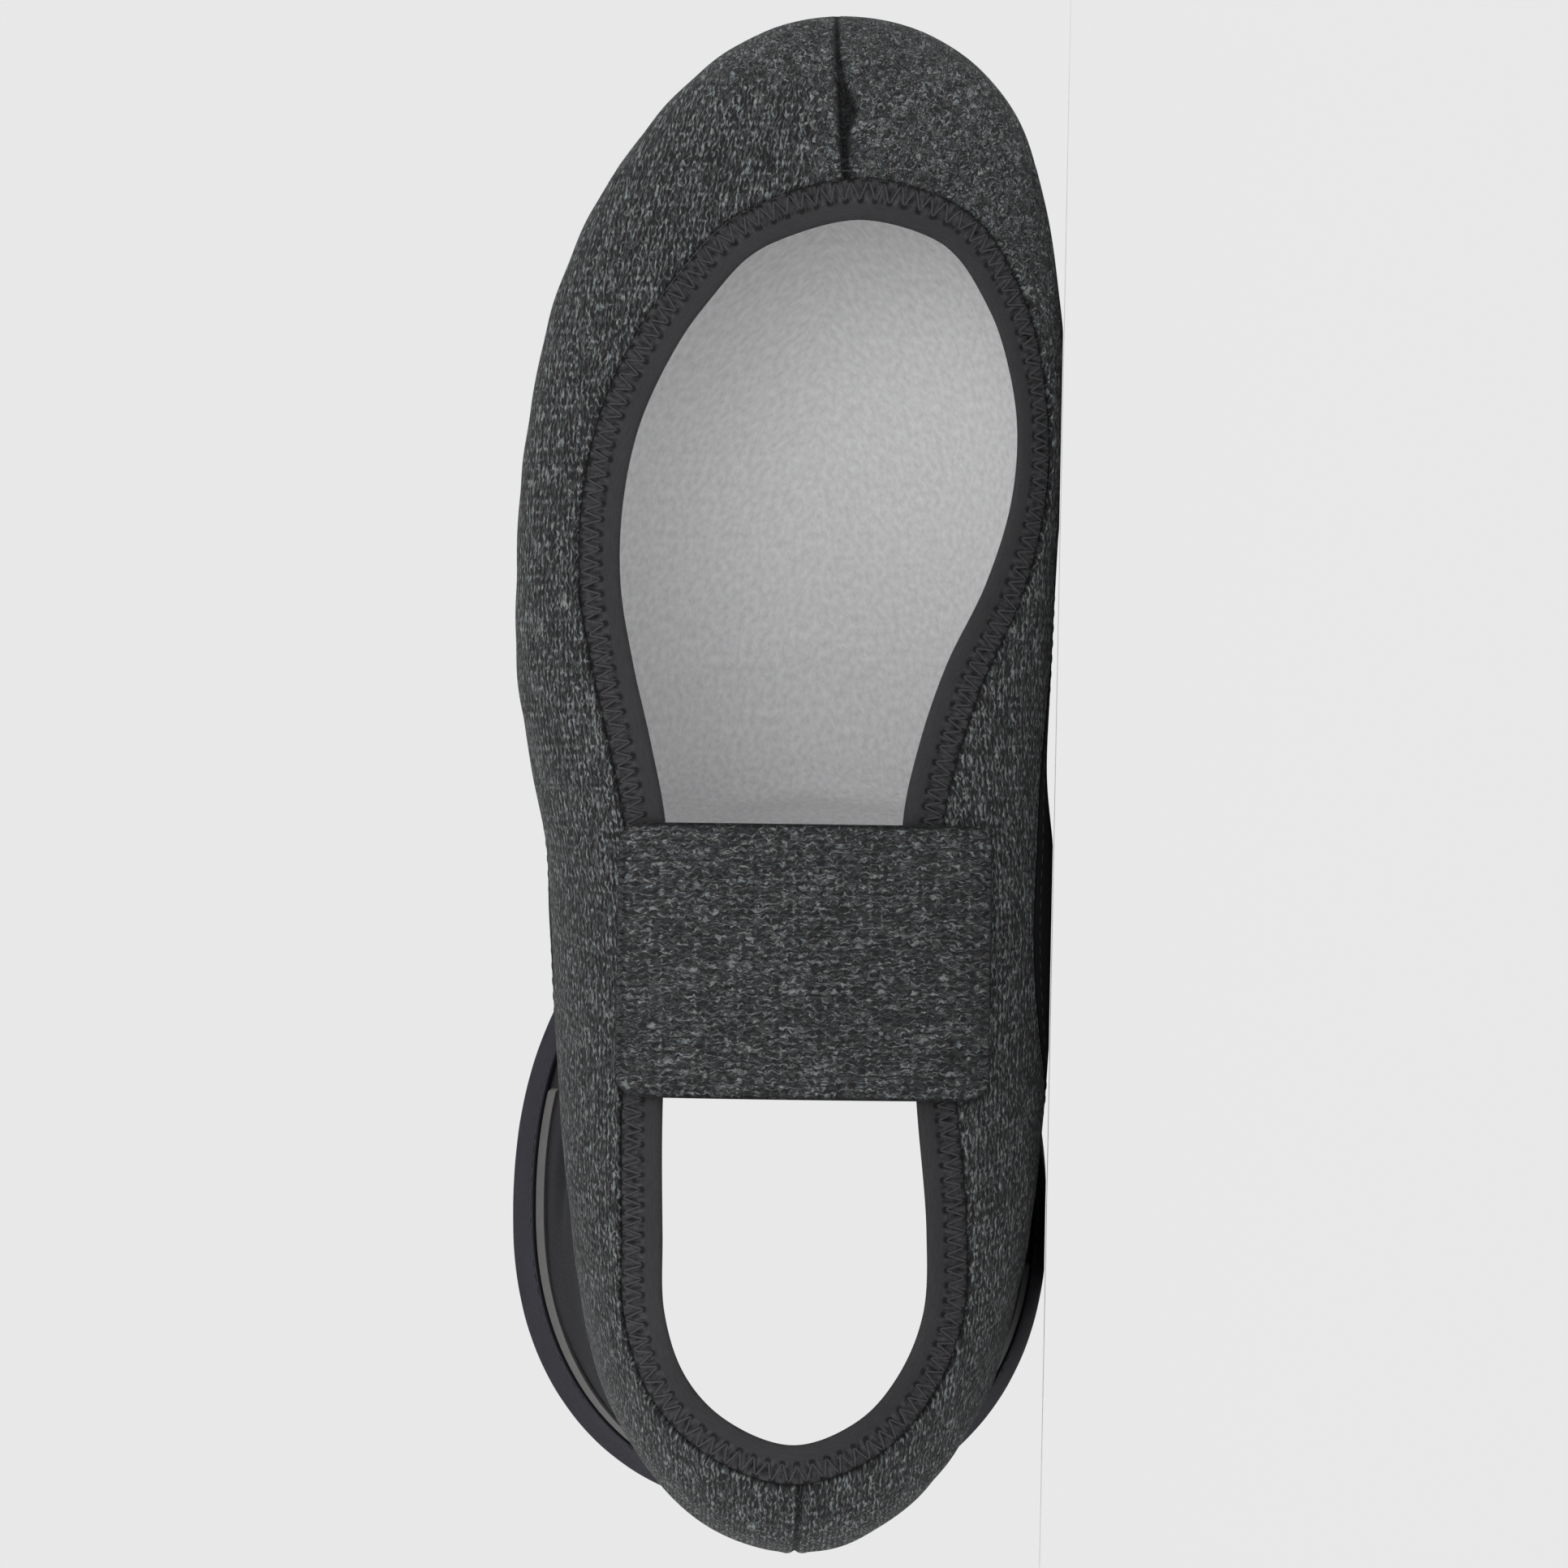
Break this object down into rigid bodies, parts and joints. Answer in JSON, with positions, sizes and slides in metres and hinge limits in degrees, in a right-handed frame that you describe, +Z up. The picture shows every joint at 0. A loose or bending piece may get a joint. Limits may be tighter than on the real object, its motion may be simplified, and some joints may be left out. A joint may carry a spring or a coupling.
{
  "type": "cycling overshoe",
  "caption": "Pull-on overshoe of knit and softshell for a cycling shoe, with a long bound cut-out and a bridge underneath and a flared cuff.",
  "frame": {"origin": "on the floor under the middle of the overshoe's bounding box, as it lies on its inner side", "axes": "+X towards the toe, -Y out of the underside, +Z up, which is the shoe's outer side"},
  "size_m": [0.29, 0.1594, 0.1063],
  "materials": {
    "knit": "heathered charcoal stretch knit with light brushed lining",
    "bridge_knit": "heathered charcoal knit patch, rows crosswise",
    "softshell": "smooth dark navy softshell with light brushed lining",
    "elastic": "matte charcoal elastic band with zigzag stitching",
    "reflective": "grey reflective tape, satin"
  },
  "bodies": {
    "root": {"knit_body": "knit", "softshell_top": "softshell", "cuff_band": "softshell", "reflective_strip": "reflective", "opening_binding": "elastic", "bridge_panel": "bridge_knit"}
  },
  "joints": []
}
